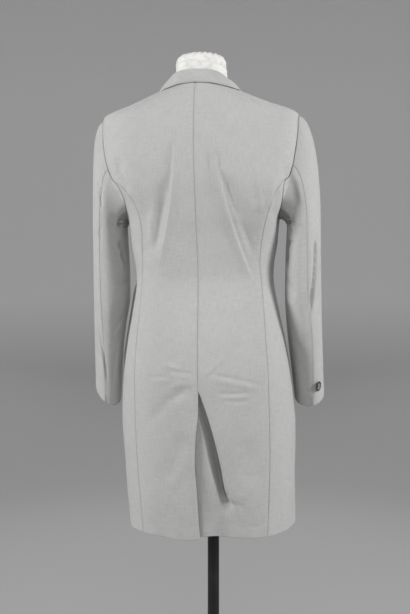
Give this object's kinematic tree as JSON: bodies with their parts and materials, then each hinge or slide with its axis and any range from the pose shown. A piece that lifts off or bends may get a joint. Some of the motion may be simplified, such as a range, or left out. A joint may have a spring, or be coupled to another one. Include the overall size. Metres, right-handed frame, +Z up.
{
  "type": "overcoat on a dress form stand",
  "caption": "Fitted light grey wool overcoat with an open back vent, worn by a white limbless dress form on a black pole with a round base.",
  "frame": {"origin": "centre of the round base's underside, on the floor", "axes": "+Z up along the pole, -Y towards the coat's front, +X towards the wearer's left"},
  "size_m": [0.5006, 0.34, 1.5],
  "materials": {
    "coat_cloth": "matte fine wool",
    "button_horn": "satin dark horn",
    "form_cover": "matte white cotton",
    "stand_paint": "satin black"
  },
  "bodies": {
    "root": {"back_left": "coat_cloth", "back_right": "coat_cloth", "side_left": "coat_cloth", "side_right": "coat_cloth", "front_left": "coat_cloth", "front_right": "coat_cloth", "lapel_left": "coat_cloth", "lapel_right": "coat_cloth", "collar": "coat_cloth", "upper_sleeve_left": "coat_cloth", "upper_sleeve_right": "coat_cloth", "under_sleeve_left": "coat_cloth", "under_sleeve_right": "coat_cloth", "front_button_1": "button_horn", "front_button_2": "button_horn", "front_button_3": "button_horn", "cuff_button_right": "button_horn", "dress_form": "form_cover", "pole": "stand_paint", "pole_socket": "stand_paint", "base_plate": "stand_paint"}
  },
  "joints": []
}
